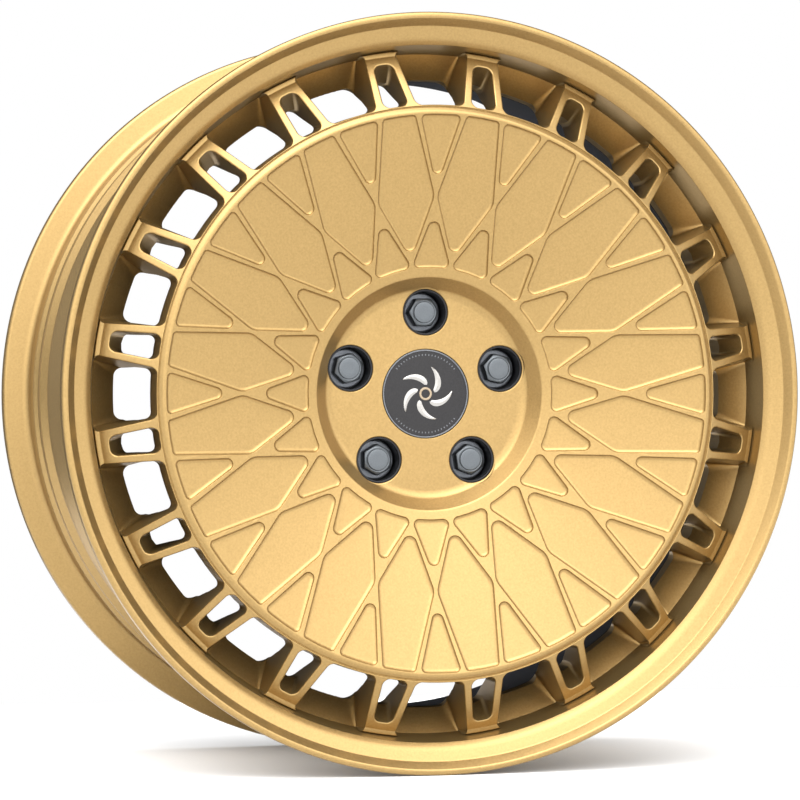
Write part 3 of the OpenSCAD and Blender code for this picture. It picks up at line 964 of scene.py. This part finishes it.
# ---- Stage ----
def floor():
    """A white table that glows a little, as lit paper does."""
    corners = [(-FLOOR_SIDE, FLOOR_FRONT), (FLOOR_SIDE, FLOOR_FRONT), (FLOOR_SIDE, FLOOR_BACK),
               (-FLOOR_SIDE, FLOOR_BACK)]
    mesh = bpy.data.meshes.new("floor")
    mesh.from_pydata([(x, y, -FLANGE_R * MM) for x, y in corners], [], [(0, 1, 2, 3)])
    obj = bpy.data.objects.new("floor", mesh)
    bpy.context.scene.collection.objects.link(obj)

    def build(tree, shader):
        shades = tinted(tree, grain(tree, 3, 2), (0.66, 0.66, 0.66), (0.70, 0.70, 0.70))
        tree.links.new(shades, shader.inputs["Base Color"])
        shader.inputs["Roughness"].default_value = 0.9
        shader.inputs["Specular IOR Level"].default_value = 0.1
        shader.inputs["Emission Color"].default_value = (1, 1, 1, 1)
        shader.inputs["Emission Strength"].default_value = FLOOR_GLOW
    mesh.materials.append(material("pale_floor", build))


def direction(turn, lift):
    """A way out from the wheel, turned from its front towards +X and then raised."""
    return (math.sin(turn) * math.cos(lift), -math.cos(turn) * math.cos(lift), math.sin(lift))


def world():
    """White to the camera, soft patches of light to everything else."""
    made = bpy.data.worlds.new("studio")
    bpy.context.scene.world = made
    made.use_nodes = True
    tree = made.node_tree
    background = tree.nodes["Background"]
    background.inputs["Color"].default_value = (1, 1, 1, 1)
    towards = add(tree, "ShaderNodeTexCoord").outputs["Generated"]

    def maths(operation, first, second):
        """The result of a maths node on two numbers or sockets."""
        node = add(tree, "ShaderNodeMath")
        node.operation = operation
        for socket, value in zip(node.inputs, (first, second)):
            if isinstance(value, (int, float)):
                socket.default_value = value
            else:
                tree.links.new(value, socket)
        return node.outputs[0]

    total = 0.0
    for turn, lift, strength in PATCHES.values():
        dot = add(tree, "ShaderNodeVectorMath")
        dot.operation = "DOT_PRODUCT"
        tree.links.new(towards, dot.inputs[0])
        dot.inputs[1].default_value = direction(math.radians(turn), math.radians(lift))
        patch = maths("POWER", maths("MAXIMUM", dot.outputs["Value"], 0.0), PATCH_EDGE)
        total = maths("ADD", maths("MULTIPLY", patch, strength), total)
    path = add(tree, "ShaderNodeLightPath")
    white = path.outputs["Is Camera Ray"]
    tree.links.new(maths("MAXIMUM", total, white), background.inputs["Strength"])


def camera():
    """Stands ten flange radii from the middle of the front flange, a little to its left."""
    away = Vector(direction(CAMERA_TURN, CAMERA_LIFT))
    data = bpy.data.cameras.new("camera")
    data.lens = CAMERA_LENS
    data.sensor_width = CAMERA_SENSOR
    data.shift_x, data.shift_y = CAMERA_SHIFT
    data.clip_end = 50
    obj = bpy.data.objects.new("camera", data)
    bpy.context.scene.collection.objects.link(obj)
    obj.location = Vector(place(0, 0, 0)) + away * CAMERA_DISTANCE
    obj.rotation_euler = (-away).to_track_quat("-Z", "Y").to_euler()
    bpy.context.scene.camera = obj


# ---- The wheel ----
centre()
barrel()
weld_bead()
for bolt in range(BOLTS):
    lug_sleeve(bolt)
    lug_collar(bolt)
    lug_bolt(bolt)
cap_body()
cap_front()
cap_rosette()
valve_stem()
valve_nut()
valve_cap()
valve_spring()
dress_nodes()
floor()
world()
camera()
bpy.context.scene.view_settings.view_transform = "Standard"
